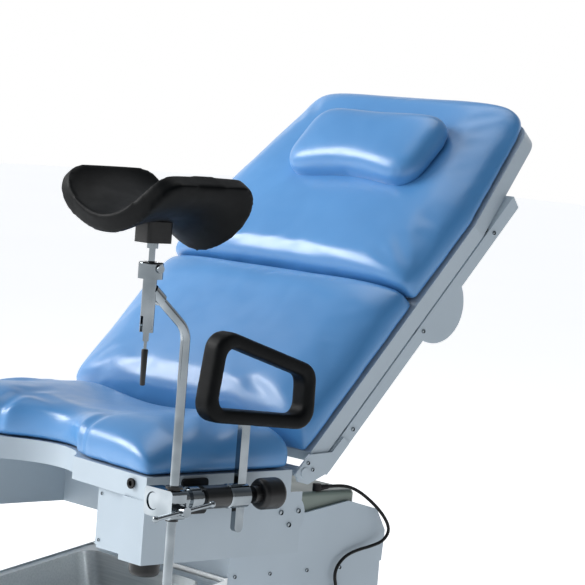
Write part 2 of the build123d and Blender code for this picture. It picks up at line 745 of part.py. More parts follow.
loop_points = [(78, 216), (257, 160), (258, 82), (62, 99)]
grip_top = 94.0
grip_bottom = -80.0
with BuildPart() as grip_bar:
    with BuildSketch(across(side_plane, bar_x - grip_thick / 2)):
        with Locations((grip_y, (grip_top + grip_bottom) / 2)):
            Rectangle(grip_wide, grip_top - grip_bottom)
    extrude(amount=grip_thick)
    fillet(grip_bar.edges().filter_by(Axis.X).sort_by(Axis.Z)[:2], grip_wide / 2 - 0.5)
save(grip_bar.part, "grip_bar_right")

loop_r = 11.0
with BuildPart() as foam_loop:
    with BuildSketch(across(side_plane, bar_x - foam_thick / 2)):
        with BuildLine():
            Polyline(*loop_points, close=True)
        make_face()
        offset(amount=loop_r, kind=Kind.INTERSECTION)
        fillet(vertices(), 30)
    extrude(amount=foam_thick)
    with BuildSketch(across(side_plane, bar_x - foam_thick / 2)):
        with BuildLine():
            Polyline(*loop_points, close=True)
        make_face()
        offset(amount=-loop_r, kind=Kind.INTERSECTION)
        fillet(vertices(), 16)
    extrude(amount=foam_thick, mode=Mode.SUBTRACT)
    fillet(foam_loop.edges().filter_by(lambda e: abs(e.center().X - bar_x) > foam_thick / 2 - 1), 8)
    with BuildSketch(top_plane.offset(grip_top)):
        with Locations((bar_x, grip_y)):
            Rectangle(grip_thick, grip_wide)
    extrude(amount=-24, mode=Mode.SUBTRACT)
save(foam_loop.part, "foam_loop_right")

knob_y, knob_length, knob_r = 167.0, 54.0, 24.0
with BuildPart() as handle_knob:
    with BuildSketch(along(knob_y)):
        with Locations((bar_x, bar_z)):
            Circle(13)
    extrude(amount=-12)
    with BuildSketch(along(knob_y + 12)):
        with Locations((bar_x, bar_z)):
            Circle(knob_r)
    extrude(amount=12 - knob_length)
    fillet(handle_knob.faces().filter_by(GeomType.CYLINDER).sort_by(SortBy.AREA)[-1].edges(), 8)
    with BuildSketch(along(knob_y)):
        with Locations((bar_x, bar_z)):
            Circle(screw_r)
    extrude(amount=knob_y - grip_y - grip_wide / 2 - 0.6)
save(handle_knob.part, "handle_knob_right")

# ---------------------------------------------------------------- lead on the carriage
gland_x, gland_y = 157.0, 478.0
lead_route = [(158, 500, -60), (160, 530, -58), (167, 558, -65), (178, 584, -84), (187, 608, -108),
              (190, 623, -133), (188, 612, -152), (184, 588, -160), (181, 560, -165), (180, 535, -173),
              (180, 517, -188), (180, 512, -205), (180, 518, -226), (180, 523, -248)]
lead_points = [Vector(x, front_y + y, rim_top + z) for x, y, z in lead_route]
lead_radii = []
for before, at, after in zip(lead_points, lead_points[1:], lead_points[2:]):
    turn = radians((at - before).get_angle(after - at))
    lead_radii.append(0.45 * min((at - before).length, (after - at).length) / (sin(turn / 2) / cos(turn / 2)))
print("lead radii", [round(r, 1) for r in lead_radii])
first_dir = (lead_points[1] - lead_points[0]).normalized()
last_dir = (lead_points[-1] - lead_points[-2]).normalized()
with BuildPart() as lead:
    with BuildLine() as lead_path:
        FilletPolyline(*lead_points, radius=lead_radii)
    with BuildSketch(Plane(origin=lead_points[0], z_dir=first_dir)):
        Circle(cord_r)
    sweep()
print("lead volume", round(lead.part.volume, 1), "section x length",
      round(pi * cord_r**2 * lead_path.wires()[0].length, 1))
save(lead.part, "lead")

with BuildPart() as glands:
    with BuildSketch(Plane(origin=lead_points[0], z_dir=first_dir * -1)):
        Circle(4.2)
    extrude(amount=22)
    with BuildSketch(top_plane.offset(-66)):
        with Locations((gland_x, gland_y)):
            Circle(7)
    extrude(amount=12)
    with BuildSketch(Plane(origin=lead_points[-1], z_dir=last_dir)):
        Circle(4.2)
    extrude(amount=24)
    with BuildSketch(across(side_plane, column_half_width)):
        with Locations((527, -270)):
            RectangleRounded(20, 26, 4)
    extrude(amount=15)
save(glands.part, "glands")
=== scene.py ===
import json
from math import cos, pi, radians, sin, sqrt

import bpy
from mathutils import Matrix, Vector


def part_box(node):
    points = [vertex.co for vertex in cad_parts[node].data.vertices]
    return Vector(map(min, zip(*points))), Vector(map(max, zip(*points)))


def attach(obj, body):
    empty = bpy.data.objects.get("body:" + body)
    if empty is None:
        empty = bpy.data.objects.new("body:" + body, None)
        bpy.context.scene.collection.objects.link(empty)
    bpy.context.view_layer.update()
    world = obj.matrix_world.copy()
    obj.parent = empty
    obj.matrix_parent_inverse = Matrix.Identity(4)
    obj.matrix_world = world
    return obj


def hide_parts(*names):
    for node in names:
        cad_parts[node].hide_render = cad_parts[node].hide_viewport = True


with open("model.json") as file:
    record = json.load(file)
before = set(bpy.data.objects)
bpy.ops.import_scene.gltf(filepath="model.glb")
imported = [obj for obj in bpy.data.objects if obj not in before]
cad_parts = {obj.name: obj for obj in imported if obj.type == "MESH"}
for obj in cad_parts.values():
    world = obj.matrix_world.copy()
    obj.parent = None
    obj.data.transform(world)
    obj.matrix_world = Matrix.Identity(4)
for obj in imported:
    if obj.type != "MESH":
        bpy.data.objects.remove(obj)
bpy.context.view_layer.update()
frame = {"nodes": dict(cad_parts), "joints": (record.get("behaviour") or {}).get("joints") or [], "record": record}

scene = bpy.context.scene
sides = {"right": 1, "left": -1}

# places that the CAD nodes give
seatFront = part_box("seat_tray")[0][1]
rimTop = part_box("seat_tray")[1][2]
joints = {joint["name"]: joint for joint in frame["joints"]}
hinge = Vector(joints["back_recline"]["pos_m"])
backAngle = radians(48)
upSlope = Vector((0, cos(backAngle), sin(backAngle)))
offSlope = Vector((0, -sin(backAngle), cos(backAngle)))


# millimetres across, behind the seat's front edge and above its rim
def seatPoint(x, y, z):
    return Vector((x / 1000, seatFront + y / 1000, rimTop + z / 1000))


# millimetres across, up the back's slope from its hinge and out from it
def backPoint(x, u, n):
    start = hinge - Vector((hinge.x, 0, 0)) + Vector((x / 1000, 0, 0))
    return start + upSlope * (u / 1000) + offSlope * (n / 1000)


# place from the seat's front edge, in millimetres
cameraPlan = {"place": (3008.0, -2221.7, 545.5), "azimuth": 47.51, "elevation": 4.21, "roll": 4.53,
              "lens": 148.3, "sensor": 36, "reach": 60}


def makeCamera():
    a, e, r = (radians(cameraPlan[key]) for key in ("azimuth", "elevation", "roll"))
    back = Vector((sin(a) * cos(e), -cos(a) * cos(e), sin(e)))
    flat = Vector((cos(a), sin(a), 0))
    rise = back.cross(flat)
    right = flat * cos(r) + rise * sin(r)
    up = back.cross(right)
    camera = bpy.data.objects.new("camera", bpy.data.cameras.new("camera"))
    scene.collection.objects.link(camera)
    turn = Matrix((right, up, back)).transposed().to_4x4()
    camera.matrix_world = Matrix.Translation(seatPoint(*cameraPlan["place"])) @ turn
    camera.data.lens = cameraPlan["lens"]
    camera.data.sensor_width = cameraPlan["sensor"]
    camera.data.clip_end = cameraPlan["reach"]
    scene.camera = camera


makeCamera()
print("camera set")


def onlySelect(piece):
    bpy.ops.object.select_all(action="DESELECT")
    piece.select_set(True)
    bpy.context.view_layer.objects.active = piece


def applyAll(piece):
    onlySelect(piece)
    for modifier in list(piece.modifiers):
        bpy.ops.object.modifier_apply(modifier=modifier.name)


def placeInMesh(piece):
    piece.data.transform(piece.matrix_world)
    piece.matrix_world = Matrix.Identity(4)


def finishPiece(piece, body, material, smoothAngle=None):
    onlySelect(piece)
    if smoothAngle is None:
        bpy.ops.object.shade_smooth()
    else:
        bpy.ops.object.shade_smooth_by_angle(angle=radians(smoothAngle))
    piece.data.materials.clear()
    piece.data.materials.append(material)
    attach(piece, body)
    return piece


# stands a piece's Z axis along a direction
def turnTo(direction, place):
    return Matrix.Translation(place) @ Vector(direction).to_track_quat("Z", "Y").to_matrix().to_4x4()


def toLinear(hexColor):
    parts = [int(hexColor[i:i + 2], 16) / 255 for i in (0, 2, 4)]
    return tuple(p / 12.92 if p <= 0.04045 else ((p + 0.055) / 1.055) ** 2.4 for p in parts) + (1,)


def addNode(tree, kind, inputs=None, **settings):
    node = tree.nodes.new(kind)
    for name, value in settings.items():
        setattr(node, name, value)
    for name, value in (inputs or {}).items():
        if isinstance(value, bpy.types.NodeSocket):
            tree.links.new(value, node.inputs[name])
        else:
            node.inputs[name].default_value = value
    return node


def startMaterial(name, **sockets):
    material = bpy.data.materials.new(name)
    material.use_nodes = True
    tree = material.node_tree
    shader = tree.nodes["Principled BSDF"]
    for socket, value in sockets.items():
        shader.inputs[socket.replace("_", " ")].default_value = value
    place = addNode(tree, "ShaderNodeTexCoord").outputs["Object"]
    return material, tree, shader, place


# noise of a size, remapped between two values
def spread(tree, place, scale, low, high, detail=2.0):
    mottle = addNode(tree, "ShaderNodeTexNoise", {"Vector": place, "Scale": scale, "Detail": detail})
    return addNode(tree, "ShaderNodeMapRange", {"Value": mottle.outputs[0], "From Min": 0.3, "From Max": 0.7,
                                                "To Min": low, "To Max": high}).outputs[0]


def twoTone(tree, factor, dark, light):
    mix = addNode(tree, "ShaderNodeMix", {0: factor, 6: toLinear(dark), 7: toLinear(light)}, data_type="RGBA")
    return mix.outputs[2]


def syntheticLeather(name, plan):
    # PU-coated cloth stretched over foam: an even colour, a fine pressed grain and a soft broad gloss;
    # tone drifts over 200 mm, gloss over 25 mm and the cover's slack over about 110 mm
    material, tree, shader, place = startMaterial(name, IOR=plan["ior"], Coat_Weight=plan["coat"],
                                                  Coat_Roughness=0.3, Specular_IOR_Level=plan["gloss"])
    tone = spread(tree, place, 5.0, 0.0, 1.0, 3.0)
    tree.links.new(twoTone(tree, tone, plan["dark"], plan["light"]), shader.inputs["Base Color"])
    rough = spread(tree, place, 40.0, plan["rough"] - 0.04, plan["rough"] + 0.05)
    tree.links.new(rough, shader.inputs["Roughness"])
    # real grain is about 1 mm; drawn at 2 mm so that it shows
    pebbles = addNode(tree, "ShaderNodeTexVoronoi", {"Vector": place, "Scale": 1000 / plan["grain"]},
                      feature="DISTANCE_TO_EDGE")
    furrow = addNode(tree, "ShaderNodeMapRange", {"Value": pebbles.outputs["Distance"], "From Max": 0.12})
    fine = addNode(tree, "ShaderNodeBump", {"Height": furrow.outputs[0], "Strength": plan["relief"],
                                            "Distance": 0.0003})
    pull = addNode(tree, "ShaderNodeTexNoise", {"Vector": place, "Scale": 9.0, "Detail": 3.0})
    slack = addNode(tree, "ShaderNodeBump", {"Height": pull.outputs[0], "Strength": 0.25, "Distance": 0.006,
                                             "Normal": fine.outputs[0]})
    tree.links.new(slack.outputs[0], shader.inputs["Normal"])
    return material


def paintedSteel(name, plan):
    # powder coat over folded sheet: satin, with faint orange peel of about 2 mm and a little handling dirt
    material, tree, shader, place = startMaterial(name, IOR=1.5, Coat_Weight=0.15, Coat_Roughness=0.2)
    tone = spread(tree, place, 3.0, 0.0, 1.0, 4.0)
    tree.links.new(twoTone(tree, tone, plan["dark"], plan["light"]), shader.inputs["Base Color"])
    rough = spread(tree, place, 14.0, plan["rough"] - 0.05, plan["rough"] + 0.07)
    tree.links.new(rough, shader.inputs["Roughness"])
    peel = addNode(tree, "ShaderNodeTexNoise", {"Vector": place, "Scale": 450.0, "Detail": 1.0})
    bump = addNode(tree, "ShaderNodeBump", {"Height": peel.outputs[0], "Strength": 0.12, "Distance": 0.0003})
    tree.links.new(bump.outputs[0], shader.inputs["Normal"])
    return material


def polishedChrome(name, plan):
    # hard chrome on tube and turned parts: a mirror with slight haze and finger marks of about 17 mm
    material, tree, shader, place = startMaterial(name, Metallic=1.0)
    tone = spread(tree, place, 20.0, 0.0, 1.0)
    tree.links.new(twoTone(tree, tone, plan["dark"], plan["light"]), shader.inputs["Base Color"])
    rough = spread(tree, place, 60.0, plan["rough"], plan["rough"] + 0.08, 4.0)
    tree.links.new(rough, shader.inputs["Roughness"])
    return material


def brushedSteel(name, plan):
    # stainless sheet brushed one way: scratches about 3 mm apart, drawn coarse so that they show
    material, tree, shader, place = startMaterial(name, Metallic=1.0)
    drawn = addNode(tree, "ShaderNodeMapping", {"Vector": place, "Scale": plan["stretch"]})
    scratch = spread(tree, drawn.outputs[0], 300.0, 0.0, 1.0, 3.0)
    tree.links.new(twoTone(tree, scratch, plan["dark"], plan["light"]), shader.inputs["Base Color"])
    rough = addNode(tree, "ShaderNodeMapRange", {"Value": scratch, "To Min": plan["rough"] - 0.06,
                                                 "To Max": plan["rough"] + 0.1})
    tree.links.new(rough.outputs[0], shader.inputs["Roughness"])
    bump = addNode(tree, "ShaderNodeBump", {"Height": scratch, "Strength": 0.05, "Distance": 0.0001})
    tree.links.new(bump.outputs[0], shader.inputs["Normal"])
    return material


def mouldedBlack(name, plan):
    # black moulded parts: a fine spark-eroded grain and slightly uneven gloss
    material, tree, shader, place = startMaterial(name, IOR=plan["ior"], Specular_IOR_Level=plan["gloss"])
    tone = spread(tree, place, 30.0, 0.0, 1.0, 3.0)
    tree.links.new(twoTone(tree, tone, plan["dark"], plan["light"]), shader.inputs["Base Color"])
    rough = spread(tree, place, 90.0, plan["rough"] - 0.06, plan["rough"] + 0.06)
    tree.links.new(rough, shader.inputs["Roughness"])
    grain = addNode(tree, "ShaderNodeTexNoise", {"Vector": place, "Scale": 1000 / plan["grain"], "Detail": 2.0})
    bump = addNode(tree, "ShaderNodeBump", {"Height": grain.outputs[0], "Strength": plan["relief"],
                                            "Distance": 0.0002})
    tree.links.new(bump.outputs[0], shader.inputs["Normal"])
    return material


finishes = {
    "blue_upholstery": syntheticLeather("skyBluePuLeather", {
        "dark": "4885BE", "light": "5391CB", "rough": 0.34, "coat": 0.3, "grain": 2.0, "relief": 0.10,
        "ior": 1.5, "gloss": 0.5}),
    "black_upholstery": syntheticLeather("blackPuLeather", {
        "dark": "030506", "light": "07090B", "rough": 0.5, "coat": 0.0, "grain": 2.0, "relief": 0.18,
        "ior": 1.5, "gloss": 0.08}),
    "painted_steel": paintedSteel("paleBluePowderCoat", {"dark": "A9B7C2", "light": "B6C4CF", "rough": 0.42}),
    "grey_housing": paintedSteel("greenGreyEnamel", {"dark": "737F78", "light": "7F8C84", "rough": 0.45}),
    "dark_steel": paintedSteel("darkGreyPrimer", {"dark": "2E3338", "light": "3A4046", "rough": 0.55}),
    "black_paint": paintedSteel("blackEnamel", {"dark": "0E1012", "light": "16191C", "rough": 0.3}),
    # painted shade: the chrome's base colour is set far darker than bright chrome, standing in for the dark
    # reflections that the pale studio does not give it
    "chrome": polishedChrome("polishedChromePlate", {"dark": "7C8489", "light": "9BA2A7", "rough": 0.07}),
    # painted light: the stainless base colour is raised almost to white, standing in for the light and rim
    # highlight that the basin lacks in the dim under the seat
    "stainless": brushedSteel("brushedStainlessSheet", {
        "dark": "D4D8DA", "light": "E6E9EA", "rough": 0.38, "stretch": (0.04, 1, 1)}),
    "brushed_steel": brushedSteel("groundSteel", {
        "dark": "9A9FA3", "light": "B4B9BD", "rough": 0.34, "stretch": (1, 1, 0.04)}),
    "black_rubber": mouldedBlack("blackRubber", {
        "dark": "060708", "light": "0C0D0F", "rough": 0.6, "ior": 1.52, "gloss": 0.3, "grain": 0.8,
        "relief": 0.3}),
    "black_plastic": mouldedBlack("blackNylon", {
        "dark": "08090A", "light": "0E1012", "rough": 0.4, "ior": 1.53, "gloss": 0.4, "grain": 0.7,
        "relief": 0.25}),
    "black_foam": mouldedBlack("integralSkinFoam", {
        "dark": "07090A", "light": "0C0E10", "rough": 0.5, "ior": 1.5, "gloss": 0.1, "grain": 1.2,
        "relief": 0.35}),
}
for row in frame["record"]["subparts"]:
    node = frame["nodes"][row["node"]]
    node.data.materials.clear()
    node.data.materials.append(finishes[row["material_slot"]])
print("materials made")

# the lead, from the gland on the carriage down to the gland on the column
leadPlan = {"diameter": 0.0055, "route": [
    (158, 500, -60), (160, 530, -58), (167, 558, -65), (178, 584, -84), (187, 608, -108), (190, 623, -133),
    (188, 612, -152), (184, 588, -160), (181, 560, -165), (180, 535, -173), (180, 517, -188), (180, 512, -205),
    (180, 518, -226), (180, 523, -248)]}


def splineLength(data):
    # measured on a copy of the bare line
    line = bpy.data.objects.new("line", data.copy())
    scene.collection.objects.link(line)
    path = bpy.data.meshes.new_from_object(line.evaluated_get(bpy.context.evaluated_depsgraph_get()))
    points = [v.co.copy() for v in path.vertices]
    bpy.data.objects.remove(line)
    return sum((b - a).length for a, b in zip(points, points[1:]))


def makeLead():
    data = bpy.data.curves.new("lead", "CURVE")
    data.dimensions = "3D"
    spline = data.splines.new("NURBS")
    route = [seatPoint(*point) for point in leadPlan["route"]]
    spline.points.add(len(route) - 1)
    for point, place in zip(spline.points, route):
        point.co = (*place, 1)
    spline.order_u = 3
    spline.use_endpoint_u = True
    spline.resolution_u = 12
    length = splineLength(data)
    data.bevel_depth = leadPlan["diameter"] / 2
    data.bevel_resolution = 5
    data.use_fill_caps = True
    lead = bpy.data.objects.new("leadCable", data)
    scene.collection.objects.link(lead)
    data.materials.append(finishes["black_rubber"])
    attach(lead, "lift")
    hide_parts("lead")
    return route


leadRoute = makeLead()

bootPlan = {"length": 0.022, "wide": 0.0058, "narrow": 0.0036, "rings": 5, "groove": 0.12, "overlap": 0.002}


# ribbed strain relief that narrows towards the lead
def makeBoot(name, mouth, direction):
    bpy.ops.mesh.primitive_cylinder_add(vertices=24, radius=bootPlan["wide"], depth=bootPlan["length"])
    boot = bpy.context.object
    boot.name = name
    bpy.ops.object.mode_set(mode="EDIT")
    bpy.ops.mesh.select_all(action="DESELECT")
    bpy.ops.object.mode_set(mode="OBJECT")
    for edge in boot.data.edges:
        a, b = (boot.data.vertices[i].co for i in edge.vertices)
        edge.select = abs(a.z - b.z) > bootPlan["length"] / 2
    bpy.ops.object.mode_set(mode="EDIT")
    bpy.ops.mesh.subdivide(number_cuts=bootPlan["rings"] * 4)
    bpy.ops.object.mode_set(mode="OBJECT")
    for vertex in boot.data.vertices:
        up = vertex.co.z / bootPlan["length"] + 0.5
        width = 1 + (bootPlan["narrow"] / bootPlan["wide"] - 1) * up
        groove = 1 - bootPlan["groove"] * (sin(up * bootPlan["rings"] * 2 * pi) > 0.3)
        vertex.co.x *= width * groove
        vertex.co.y *= width * groove
    setBack = bootPlan["length"] / 2 - bootPlan["overlap"]
    boot.matrix_world = turnTo(direction, mouth - Vector(direction).normalized() * setBack)
    placeInMesh(boot)
    finishPiece(boot, "lift", finishes["black_rubber"], 35)


makeBoot("upperBoot", leadRoute[0], leadRoute[1] - leadRoute[0])
makeBoot("lowerBoot", leadRoute[-1], leadRoute[-2] - leadRoute[-1])
print("lead laid")


# a closed even mesh from a CAD solid, its edges rounded as foam under cloth rounds them
def softCopy(node, name, voxel, rounding):
    piece = bpy.data.objects.new(name, frame["nodes"][node].data.copy())
    scene.collection.objects.link(piece)
    onlySelect(piece)
    bpy.ops.object.mode_set(mode="EDIT")
    bpy.ops.mesh.select_all(action="SELECT")
    bpy.ops.mesh.remove_doubles(threshold=0.00002)
    bpy.ops.object.mode_set(mode="OBJECT")
    remesh = piece.modifiers.new("remesh", "REMESH")
    remesh.mode = "VOXEL"
    remesh.voxel_size = voxel
    smooth = piece.modifiers.new("round", "SMOOTH")
    smooth.factor = 0.5
    smooth.iterations = rounding
    applyAll(piece)
    return piece


# stretches a piece back to the size it had before its edges were rounded
def fitBox(piece, toLocal, toWorld, low, high):
    points = [toLocal(v.co) for v in piece.data.vertices]
    mins = [min(p[i] for p in points) for i in range(3)]
    maxs = [max(p[i] for p in points) for i in range(3)]
    for vertex, point in zip(piece.data.vertices, points):
        local = [low[i] + (point[i] - mins[i]) / (maxs[i] - mins[i]) * (high[i] - low[i]) for i in range(3)]
        vertex.co = toWorld(*local)


def reshape(piece, toLocal, toWorld, move):
    for vertex in piece.data.vertices:
        vertex.co = toWorld(*move(*toLocal(vertex.co)))


clothPlan = {"pressure": 3.0, "stretch": 40, "bend": 12, "steps": 4, "frames": 16}


# blows the cover up against its own tension; the side that rests on the frame stays put
def swell(piece, plan, keepFlat):
    rest = [v.co.copy() for v in piece.data.vertices]
    pinned = piece.vertex_groups.new(name="pinned")
    pinned.add([i for i, place in enumerate(rest) if keepFlat(place)], 1.0, "REPLACE")
    cloth = piece.modifiers.new("cloth", "CLOTH")
    cloth.settings.vertex_group_mass = "pinned"
    cloth.settings.use_pressure = True
    cloth.settings.uniform_pressure_force = clothPlan["pressure"]
    cloth.settings.effector_weights.gravity = 0
    cloth.settings.quality = clothPlan["steps"]
    cloth.settings.tension_stiffness = cloth.settings.compression_stiffness = clothPlan["stretch"]
    cloth.settings.bending_stiffness = clothPlan["bend"]
    cloth.point_cache.frame_end = clothPlan["frames"]
    for step in range(1, clothPlan["frames"] + 1):
        scene.frame_set(step)
    onlySelect(piece)
    bpy.ops.object.modifier_apply(modifier="cloth")
    scene.frame_set(1)
    for vertex, place in zip(piece.data.vertices, rest):
        shift = vertex.co - place
        if shift.length > plan["cap"]:
            vertex.co = place + shift.normalized() * plan["cap"]
    # the cover lies smooth over its foam but for the longer folds
    ease = piece.modifiers.new("ease", "SMOOTH")
    ease.factor = 0.5
    ease.iterations = plan["ease"]
    applyAll(piece)


def toSeat(place):
    return place.x * 1000, (place.y - seatFront) * 1000, (place.z - rimTop) * 1000


def toBack(place):
    arm = place - hinge
    return place.x * 1000, arm.dot(upSlope) * 1000, arm.dot(offSlope) * 1000


# a smooth bump of height 1 that is gone beyond a width
def hill(distance, width):
    t = min(abs(distance) / width, 1)
    return (1 - t * t) ** 2


def finishPad(piece, body, slot, node):
    finer = piece.modifiers.new("finer", "SUBSURF")
    finer.levels = finer.render_levels = 1
    applyAll(piece)
    finishPiece(piece, body, finishes[slot])
    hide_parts(node)


seatPlan = {"half": 300, "inset": 1, "base": 0.3, "height": 70, "length": 287, "voxel": 0.006, "rounding": 46,
            "dish": 14, "dishWidth": 190, "dishRun": 120, "roll": 24, "nose": 16, "noseRun": 70,
            "noseSide": 150, "horn": 108, "hornSplay": 0.12, "creaseDepth": 11, "creaseWidth": 22,
            "creaseRun": 150, "creaseFront": 60, "wrinkle": 4.5, "foldSide": 245, "foldWidth": 70,
            "foldMiddle": 150, "foldRun": 120, "waveAlong": 13, "waveAcross": 15, "cap": 0.005, "ease": 4,
            "flat": 0.004, "fill": 0.8}


def makeSeat():
    p = seatPlan
    seat = softCopy("seat_cushion", "seatUpholstery", p["voxel"], p["rounding"])
    edge = p["half"] - p["inset"]
    fitBox(seat, toSeat, seatPoint, (-edge, p["inset"], p["base"]), (edge, p["length"], p["height"]))

    def mould(x, y, z):
        lift = max(z, 0) / p["height"]
        side = abs(x)
        # the horns stand up either side of the opening, and the middle dishes
        z -= lift * p["dish"] * hill(side, p["dishWidth"]) * (0.5 + 0.5 * min(y / p["dishRun"], 1))
        nose = p["nose"] * hill(y, p["noseRun"]) * min(side / p["noseSide"], 1)
        z -= lift * (p["roll"] * (side / p["half"]) ** 8 + nose)
        groove = hill(side - p["horn"] - y * p["hornSplay"], p["creaseWidth"]) * max(0, 1 - y / p["creaseRun"])
        z -= lift * p["creaseDepth"] * groove
        y += p["creaseDepth"] * groove * max(0, 1 - y / p["creaseFront"])
        # loose folds along the sides
        wave = sin(y / p["waveAlong"] + side / p["waveAcross"])
        fold = wave * hill(side - p["foldSide"], p["foldWidth"]) * hill(y - p["foldMiddle"], p["foldRun"])
        z += lift * p["wrinkle"] * fold
        return x, y, z

    reshape(seat, toSeat, seatPoint, mould)
    swell(seat, p, lambda place: place.z < rimTop + p["flat"])
    finishPad(seat, "seat", "blue_upholstery", "seat_cushion")


makeSeat()

padPlan = {"half": 300, "depth": 74, "voxel": 0.0065, "cap": 0.003, "ease": 8, "flat": 3, "fill": 0.85}
lumbarPlan = {"start": 28, "end": 343, "base": 11.2, "top": 86, "crown": 8, "roll": 22, "rounding": 40,
              "edgeDrop": 7, "edgeRun": 60, "fold": 2.2, "foldStart": 60, "foldRun": 60, "foldSide": 170,
              "foldWidth": 120, "waveAcross": 23, "waveAlong": 40}
upperPlan = {"start": 345, "end": 763, "base": 11.2, "top": 86, "crown": 6, "roll": 22, "rounding": 44,
             "thin": 22, "taper": 43, "taperStart": 520, "taperRun": 246}


def makeBackPad(node, name, plan, mould):
    pad = softCopy(node, name, padPlan["voxel"], plan["rounding"])
    low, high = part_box(node)
    fitBox(pad, toBack, backPoint, (low[0] * 1000 + 1, plan["start"], plan["base"]),
           (high[0] * 1000 - 1, plan["end"], plan["top"]))
    reshape(pad, toBack, backPoint, mould)
    swell(pad, padPlan, lambda place: toBack(place)[2] < plan["base"] + padPlan["flat"])
    finishPad(pad, "back", "blue_upholstery", node)


def lumbarMould(x, u, n):
    p = lumbarPlan
    lift = (n - p["base"]) / padPlan["depth"]
    across = x / padPlan["half"]
    n -= lift * (p["crown"] * across ** 2 + p["roll"] * abs(across) ** 6)
    n -= lift * p["edgeDrop"] * hill(u - p["end"], p["edgeRun"])
    wave = sin(x / p["waveAcross"] + u / p["waveAlong"])
    n += (lift * p["fold"] * wave * hill(u - p["foldStart"], p["foldRun"])
          * hill(abs(x) - p["foldSide"], p["foldWidth"]))
    return x, u, n


def upperMould(x, u, n):
    p = upperPlan
    lift = (n - p["base"]) / padPlan["depth"]
    half = padPlan["half"] - p["taper"] * min(max(u - p["taperStart"], 0) / p["taperRun"], 1)
    n -= lift * (p["crown"] * (x / half) ** 2 + p["roll"] * abs(x / half) ** 6)
    # it thins towards the head
    n -= lift * p["thin"] * (max(u - p["start"], 0) / (p["end"] - p["start"])) ** 1.5
    return x, u, n


makeBackPad("lumbar_pad", "lumbarUpholstery", lumbarPlan, lumbarMould)
makeBackPad("back_pad", "backUpholstery", upperPlan, upperMould)

pillowPlan = {"x": 38, "u": 600, "long": 314, "wide": 146, "base": 74, "top": 125,
              "voxel": 0.005, "rounding": 26, "endDrop": 14, "edgeDrop": 10, "drawLow": 10, "drawHigh": 4,
              "drawWidth": 0.8, "cap": 0.003, "ease": 4, "flat": 3, "fill": 0.75}


def makePillow():
    p = pillowPlan
    pillow = softCopy("pillow", "headPillow", p["voxel"], p["rounding"])
    fitBox(pillow, toBack, backPoint, (p["x"] - p["long"] / 2, p["u"] - p["wide"] / 2, p["base"]),
           (p["x"] + p["long"] / 2, p["u"] + p["wide"] / 2, p["top"]))

    def mould(x, u, n):
        across = (x - p["x"]) / (p["long"] / 2)
        along = (u - p["u"]) / (p["wide"] / 2)
        lift = (n - p["base"]) / (p["top"] - p["base"])
        n -= lift * (p["endDrop"] * across ** 4 + p["edgeDrop"] * along ** 4)
        # the lower long edge is drawn in at its middle
        u += max(-along, 0) * p["drawLow"] * hill(across, p["drawWidth"])
        u -= max(along, 0) * p["drawHigh"] * hill(across, p["drawWidth"])
        return x, u, n

    reshape(pillow, toBack, backPoint, mould)
    swell(pillow, p, lambda place: toBack(place)[2] < p["base"] + p["flat"])
    finishPad(pillow, "back", "blue_upholstery", "pillow")


makePillow()
print("blue upholstery made")

# leg rests: a trough that arches over its mount and flares into two wings
restPlan = {"radius": 130, "flare": 72, "squash": 0.62, "long": 186, "thick": 29, "archFront": 22,
            "archRear": 46, "corner": 0.42, "tipTurn": 0.04, "clearance": 0.5, "across": 56, "along": 44,
            "voxel": 0.0035, "rounding": 12, "fill": 0.9}


# draws a square's corners in to a round of this share of its half side
def roundCorner(s, t, corner):
    a, b = max(abs(s) - (1 - corner), 0) / corner, max(abs(t) - (1 - corner), 0) / corner
    if a == 0 or b == 0:
        return s, t
    shrink = max(a, b) / sqrt(a * a + b * b)
    place = [(1 - corner + part * shrink * corner) for part in (a, b)]
    return (place[0] if s > 0 else -place[0]), (place[1] if t > 0 else -place[1])


def makeLegRest(side, sign):
    low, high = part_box(f"pad_mount_{side}")
    middle = Vector(((low[0] + high[0]) / 2, (low[1] + high[1]) / 2, high[2]))
    p = restPlan
    bpy.ops.object.select_all(action="DESELECT")
    bpy.ops.mesh.primitive_grid_add(x_subdivisions=p["across"], y_subdivisions=p["along"], size=2)
    rest = bpy.context.object
    rest.name = f"legRest{side.capitalize()}"
    for vertex in rest.data.vertices:
        s, t = roundCorner(vertex.co.x, vertex.co.y, p["corner"])
        angle = s * radians(p["flare"])
        reach = p["radius"] - p["thick"] / 2
        drop = (p["archFront"] if t < 0 else p["archRear"]) * t * t * (1 - abs(s) ** 1.6)
        rise = reach * (1 - cos(angle)) * p["squash"] + p["thick"] / 2 + p["clearance"]
        # the wings turn out a little at their tips
        wide = reach * sin(angle) * (1 + p["tipTurn"] * s * s)
        vertex.co = Vector((sign * wide, t * p["long"] / 2, rise - drop)) / 1000 + middle
    if sign < 0:
        bpy.ops.object.mode_set(mode="EDIT")
        bpy.ops.mesh.select_all(action="SELECT")
        bpy.ops.mesh.flip_normals()
        bpy.ops.object.mode_set(mode="OBJECT")
    foam = rest.modifiers.new("foam", "SOLIDIFY")
    foam.thickness = p["thick"] / 1000
    foam.offset = 0
    remesh = rest.modifiers.new("remesh", "REMESH")
    remesh.mode = "VOXEL"
    remesh.voxel_size = p["voxel"]
    smooth = rest.modifiers.new("round", "SMOOTH")
    smooth.factor = 0.5
    smooth.iterations = p["rounding"]
    applyAll(rest)
    finishPad(rest, f"leg_pad_{side}", "black_upholstery", f"leg_pad_{side}")


for side, sign in sides.items():
    makeLegRest(side, sign)

gripPlan = {"voxel": 0.003, "rounding": 10, "fill": 1.0}
foamGrip = softCopy("foam_loop_right", "foamGrip", gripPlan["voxel"], gripPlan["rounding"])
finishPad(foamGrip, "grip_right", "black_foam", "foam_loop_right")
print("leg rests and grips made")

screwPlan = {"radius": 0.0032, "height": 0.0016, "rim": 0.25, "socket": 0.5, "wall": 0.6, "deep": 0.7}


